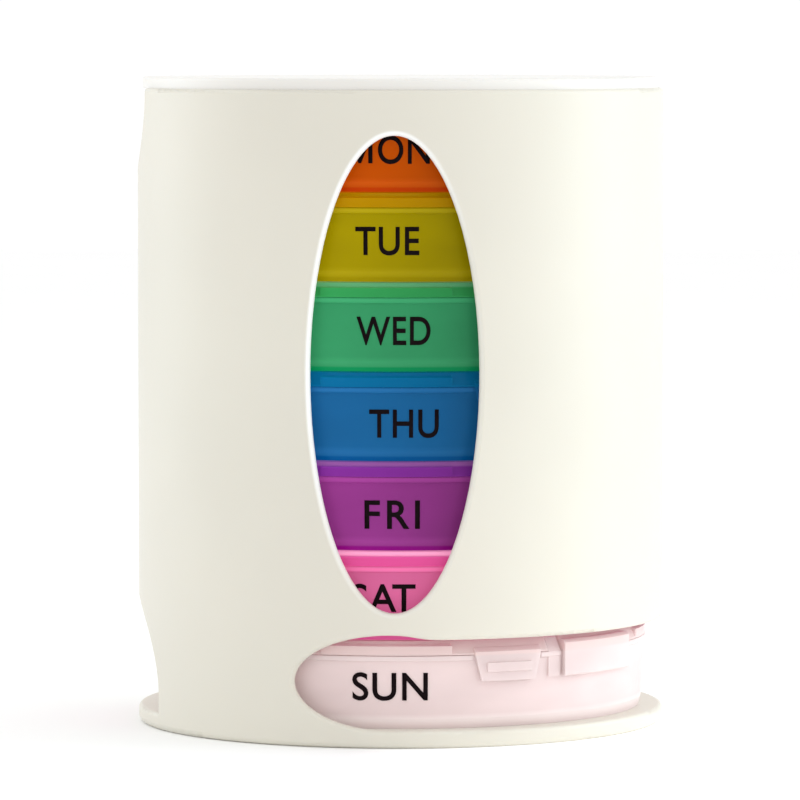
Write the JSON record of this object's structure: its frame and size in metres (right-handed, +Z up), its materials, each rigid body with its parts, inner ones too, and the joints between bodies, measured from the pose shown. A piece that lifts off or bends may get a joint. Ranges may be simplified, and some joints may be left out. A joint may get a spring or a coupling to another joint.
{
  "type": "weekly pill dispenser tower",
  "caption": "Cylindrical pill organizer: stacked round day boxes with hinged quarter lids in a windowed tube, the lowest box sliding out at the base.",
  "frame": {"origin": "centre of the base's underside", "axes": "+Z up along the tube's axis, the window faces -Y and the lowest box slides out towards +X"},
  "size_m": [0.124, 0.124, 0.1521],
  "materials": {
    "ivory_shell": "satin white moulded plastic",
    "sun_plastic": "frosted translucent tinted plastic",
    "sat_plastic": "translucent tinted plastic",
    "fri_plastic": "translucent tinted plastic",
    "thu_plastic": "translucent tinted plastic",
    "wed_plastic": "translucent tinted plastic",
    "tue_plastic": "translucent tinted plastic",
    "mon_plastic": "translucent tinted plastic"
  },
  "bodies": {
    "housing": {"housing": "ivory_shell"},
    "tower_lid": {"tower_lid": "ivory_shell"},
    "sun_tub": {"sun_tub": "sun_plastic"},
    "sun_lid_morning": {"sun_lid_morning": "sun_plastic"},
    "sun_lid_noon": {"sun_lid_noon": "sun_plastic"},
    "sun_lid_evening": {"sun_lid_evening": "sun_plastic"},
    "sun_lid_bedtime": {"sun_lid_bedtime": "sun_plastic"},
    "sat_tub": {"sat_tub": "sat_plastic"},
    "sat_lid_morning": {"sat_lid_morning": "sat_plastic"},
    "sat_lid_noon": {"sat_lid_noon": "sat_plastic"},
    "sat_lid_evening": {"sat_lid_evening": "sat_plastic"},
    "sat_lid_bedtime": {"sat_lid_bedtime": "sat_plastic"},
    "fri_tub": {"fri_tub": "fri_plastic"},
    "fri_lid_morning": {"fri_lid_morning": "fri_plastic"},
    "fri_lid_noon": {"fri_lid_noon": "fri_plastic"},
    "fri_lid_evening": {"fri_lid_evening": "fri_plastic"},
    "fri_lid_bedtime": {"fri_lid_bedtime": "fri_plastic"},
    "thu_tub": {"thu_tub": "thu_plastic"},
    "thu_lid_morning": {"thu_lid_morning": "thu_plastic"},
    "thu_lid_noon": {"thu_lid_noon": "thu_plastic"},
    "thu_lid_evening": {"thu_lid_evening": "thu_plastic"},
    "thu_lid_bedtime": {"thu_lid_bedtime": "thu_plastic"},
    "wed_tub": {"wed_tub": "wed_plastic"},
    "wed_lid_morning": {"wed_lid_morning": "wed_plastic"},
    "wed_lid_noon": {"wed_lid_noon": "wed_plastic"},
    "wed_lid_evening": {"wed_lid_evening": "wed_plastic"},
    "wed_lid_bedtime": {"wed_lid_bedtime": "wed_plastic"},
    "tue_tub": {"tue_tub": "tue_plastic"},
    "tue_lid_morning": {"tue_lid_morning": "tue_plastic"},
    "tue_lid_noon": {"tue_lid_noon": "tue_plastic"},
    "tue_lid_evening": {"tue_lid_evening": "tue_plastic"},
    "tue_lid_bedtime": {"tue_lid_bedtime": "tue_plastic"},
    "mon_tub": {"mon_tub": "mon_plastic"},
    "mon_lid_morning": {"mon_lid_morning": "mon_plastic"},
    "mon_lid_noon": {"mon_lid_noon": "mon_plastic"},
    "mon_lid_evening": {"mon_lid_evening": "mon_plastic"},
    "mon_lid_bedtime": {"mon_lid_bedtime": "mon_plastic"}
  },
  "joints": [
    {"name": "sun_drawer_slide", "type": "slide", "parent": "housing", "child": "sun_tub", "axis": [1, 0, 0], "range_m": [0, 0.13]},
    {"name": "sat_lift", "type": "slide", "parent": "housing", "child": "sat_tub", "axis": [0, 0, 1], "range_m": [0, 0.127]},
    {"name": "fri_lift", "type": "slide", "parent": "sat_tub", "child": "fri_tub", "axis": [0, 0, 1], "range_m": [0, 0.106]},
    {"name": "thu_lift", "type": "slide", "parent": "fri_tub", "child": "thu_tub", "axis": [0, 0, 1], "range_m": [0, 0.1]},
    {"name": "wed_lift", "type": "slide", "parent": "thu_tub", "child": "wed_tub", "axis": [0, 0, 1], "range_m": [0, 0.1]},
    {"name": "tue_lift", "type": "slide", "parent": "wed_tub", "child": "tue_tub", "axis": [0, 0, 1], "range_m": [0, 0.1]},
    {"name": "mon_lift", "type": "slide", "parent": "tue_tub", "child": "mon_tub", "axis": [0, 0, 1], "range_m": [0, 0.1]},
    {"name": "tower_lid_lift", "type": "slide", "parent": "mon_tub", "child": "tower_lid", "axis": [0, 0, 1], "range_m": [0, 0.1]},
    {"name": "sun_lid_morning_hinge", "type": "hinge", "parent": "sun_tub", "child": "sun_lid_morning", "pos_m": [0, 0, 0.0226], "axis": [-0.7771, -0.6293, 0], "range_deg": [0, 95]},
    {"name": "sun_lid_noon_hinge", "type": "hinge", "parent": "sun_tub", "child": "sun_lid_noon", "pos_m": [0, 0, 0.0226], "axis": [0.6293, -0.7771, 0], "range_deg": [0, 95]},
    {"name": "sun_lid_evening_hinge", "type": "hinge", "parent": "sun_tub", "child": "sun_lid_evening", "pos_m": [0, 0, 0.0226], "axis": [0.7771, 0.6293, 0], "range_deg": [0, 95]},
    {"name": "sun_lid_bedtime_hinge", "type": "hinge", "parent": "sun_tub", "child": "sun_lid_bedtime", "pos_m": [0, 0, 0.0226], "axis": [-0.6293, 0.7771, 0], "range_deg": [0, 95]},
    {"name": "sat_lid_morning_hinge", "type": "hinge", "parent": "sat_tub", "child": "sat_lid_morning", "pos_m": [0, 0, 0.043], "axis": [-0.7771, -0.6293, 0], "range_deg": [0, 95]},
    {"name": "sat_lid_noon_hinge", "type": "hinge", "parent": "sat_tub", "child": "sat_lid_noon", "pos_m": [0, 0, 0.043], "axis": [0.6293, -0.7771, 0], "range_deg": [0, 95]},
    {"name": "sat_lid_evening_hinge", "type": "hinge", "parent": "sat_tub", "child": "sat_lid_evening", "pos_m": [0, 0, 0.043], "axis": [0.7771, 0.6293, 0], "range_deg": [0, 95]},
    {"name": "sat_lid_bedtime_hinge", "type": "hinge", "parent": "sat_tub", "child": "sat_lid_bedtime", "pos_m": [0, 0, 0.043], "axis": [-0.6293, 0.7771, 0], "range_deg": [0, 95]},
    {"name": "fri_lid_morning_hinge", "type": "hinge", "parent": "fri_tub", "child": "fri_lid_morning", "pos_m": [0, 0, 0.0634], "axis": [-0.7771, -0.6293, 0], "range_deg": [0, 95]},
    {"name": "fri_lid_noon_hinge", "type": "hinge", "parent": "fri_tub", "child": "fri_lid_noon", "pos_m": [0, 0, 0.0634], "axis": [0.6293, -0.7771, 0], "range_deg": [0, 95]},
    {"name": "fri_lid_evening_hinge", "type": "hinge", "parent": "fri_tub", "child": "fri_lid_evening", "pos_m": [0, 0, 0.0634], "axis": [0.7771, 0.6293, 0], "range_deg": [0, 95]},
    {"name": "fri_lid_bedtime_hinge", "type": "hinge", "parent": "fri_tub", "child": "fri_lid_bedtime", "pos_m": [0, 0, 0.0634], "axis": [-0.6293, 0.7771, 0], "range_deg": [0, 95]},
    {"name": "thu_lid_morning_hinge", "type": "hinge", "parent": "thu_tub", "child": "thu_lid_morning", "pos_m": [0, 0, 0.0838], "axis": [-0.7771, -0.6293, 0], "range_deg": [0, 95]},
    {"name": "thu_lid_noon_hinge", "type": "hinge", "parent": "thu_tub", "child": "thu_lid_noon", "pos_m": [0, 0, 0.0838], "axis": [0.6293, -0.7771, 0], "range_deg": [0, 95]},
    {"name": "thu_lid_evening_hinge", "type": "hinge", "parent": "thu_tub", "child": "thu_lid_evening", "pos_m": [0, 0, 0.0838], "axis": [0.7771, 0.6293, 0], "range_deg": [0, 95]},
    {"name": "thu_lid_bedtime_hinge", "type": "hinge", "parent": "thu_tub", "child": "thu_lid_bedtime", "pos_m": [0, 0, 0.0838], "axis": [-0.6293, 0.7771, 0], "range_deg": [0, 95]},
    {"name": "wed_lid_morning_hinge", "type": "hinge", "parent": "wed_tub", "child": "wed_lid_morning", "pos_m": [0, 0, 0.1042], "axis": [-0.7771, -0.6293, 0], "range_deg": [0, 95]},
    {"name": "wed_lid_noon_hinge", "type": "hinge", "parent": "wed_tub", "child": "wed_lid_noon", "pos_m": [0, 0, 0.1042], "axis": [0.6293, -0.7771, 0], "range_deg": [0, 95]},
    {"name": "wed_lid_evening_hinge", "type": "hinge", "parent": "wed_tub", "child": "wed_lid_evening", "pos_m": [0, 0, 0.1042], "axis": [0.7771, 0.6293, 0], "range_deg": [0, 95]},
    {"name": "wed_lid_bedtime_hinge", "type": "hinge", "parent": "wed_tub", "child": "wed_lid_bedtime", "pos_m": [0, 0, 0.1042], "axis": [-0.6293, 0.7771, 0], "range_deg": [0, 95]},
    {"name": "tue_lid_morning_hinge", "type": "hinge", "parent": "tue_tub", "child": "tue_lid_morning", "pos_m": [0, 0, 0.1246], "axis": [-0.7771, -0.6293, 0], "range_deg": [0, 95]},
    {"name": "tue_lid_noon_hinge", "type": "hinge", "parent": "tue_tub", "child": "tue_lid_noon", "pos_m": [0, 0, 0.1246], "axis": [0.6293, -0.7771, 0], "range_deg": [0, 95]},
    {"name": "tue_lid_evening_hinge", "type": "hinge", "parent": "tue_tub", "child": "tue_lid_evening", "pos_m": [0, 0, 0.1246], "axis": [0.7771, 0.6293, 0], "range_deg": [0, 95]},
    {"name": "tue_lid_bedtime_hinge", "type": "hinge", "parent": "tue_tub", "child": "tue_lid_bedtime", "pos_m": [0, 0, 0.1246], "axis": [-0.6293, 0.7771, 0], "range_deg": [0, 95]},
    {"name": "mon_lid_morning_hinge", "type": "hinge", "parent": "mon_tub", "child": "mon_lid_morning", "pos_m": [0, 0, 0.145], "axis": [-0.7771, -0.6293, 0], "range_deg": [0, 95]},
    {"name": "mon_lid_noon_hinge", "type": "hinge", "parent": "mon_tub", "child": "mon_lid_noon", "pos_m": [0, 0, 0.145], "axis": [0.6293, -0.7771, 0], "range_deg": [0, 95]},
    {"name": "mon_lid_evening_hinge", "type": "hinge", "parent": "mon_tub", "child": "mon_lid_evening", "pos_m": [0, 0, 0.145], "axis": [0.7771, 0.6293, 0], "range_deg": [0, 95]},
    {"name": "mon_lid_bedtime_hinge", "type": "hinge", "parent": "mon_tub", "child": "mon_lid_bedtime", "pos_m": [0, 0, 0.145], "axis": [-0.6293, 0.7771, 0], "range_deg": [0, 95]}
  ],
  "couplings": [
    {"joint": "sun_lid_morning_hinge", "follows": "sat_lift", "rad_per_m": 13.05},
    {"joint": "sun_lid_noon_hinge", "follows": "sat_lift", "rad_per_m": 13.05},
    {"joint": "sun_lid_evening_hinge", "follows": "sat_lift", "rad_per_m": 13.05},
    {"joint": "sun_lid_bedtime_hinge", "follows": "sat_lift", "rad_per_m": 13.05},
    {"joint": "sat_lid_morning_hinge", "follows": "fri_lift", "rad_per_m": 15.64},
    {"joint": "sat_lid_noon_hinge", "follows": "fri_lift", "rad_per_m": 15.64},
    {"joint": "sat_lid_evening_hinge", "follows": "fri_lift", "rad_per_m": 15.64},
    {"joint": "sat_lid_bedtime_hinge", "follows": "fri_lift", "rad_per_m": 15.64},
    {"joint": "fri_lid_morning_hinge", "follows": "thu_lift", "rad_per_m": 16.58},
    {"joint": "fri_lid_noon_hinge", "follows": "thu_lift", "rad_per_m": 16.58},
    {"joint": "fri_lid_evening_hinge", "follows": "thu_lift", "rad_per_m": 16.58},
    {"joint": "fri_lid_bedtime_hinge", "follows": "thu_lift", "rad_per_m": 16.58},
    {"joint": "thu_lid_morning_hinge", "follows": "wed_lift", "rad_per_m": 16.58},
    {"joint": "thu_lid_noon_hinge", "follows": "wed_lift", "rad_per_m": 16.58},
    {"joint": "thu_lid_evening_hinge", "follows": "wed_lift", "rad_per_m": 16.58},
    {"joint": "thu_lid_bedtime_hinge", "follows": "wed_lift", "rad_per_m": 16.58},
    {"joint": "wed_lid_morning_hinge", "follows": "tue_lift", "rad_per_m": 16.58},
    {"joint": "wed_lid_noon_hinge", "follows": "tue_lift", "rad_per_m": 16.58},
    {"joint": "wed_lid_evening_hinge", "follows": "tue_lift", "rad_per_m": 16.58},
    {"joint": "wed_lid_bedtime_hinge", "follows": "tue_lift", "rad_per_m": 16.58},
    {"joint": "tue_lid_morning_hinge", "follows": "mon_lift", "rad_per_m": 16.58},
    {"joint": "tue_lid_noon_hinge", "follows": "mon_lift", "rad_per_m": 16.58},
    {"joint": "tue_lid_evening_hinge", "follows": "mon_lift", "rad_per_m": 16.58},
    {"joint": "tue_lid_bedtime_hinge", "follows": "mon_lift", "rad_per_m": 16.58},
    {"joint": "mon_lid_morning_hinge", "follows": "tower_lid_lift", "rad_per_m": 16.58},
    {"joint": "mon_lid_noon_hinge", "follows": "tower_lid_lift", "rad_per_m": 16.58},
    {"joint": "mon_lid_evening_hinge", "follows": "tower_lid_lift", "rad_per_m": 16.58},
    {"joint": "mon_lid_bedtime_hinge", "follows": "tower_lid_lift", "rad_per_m": 16.58}
  ]
}
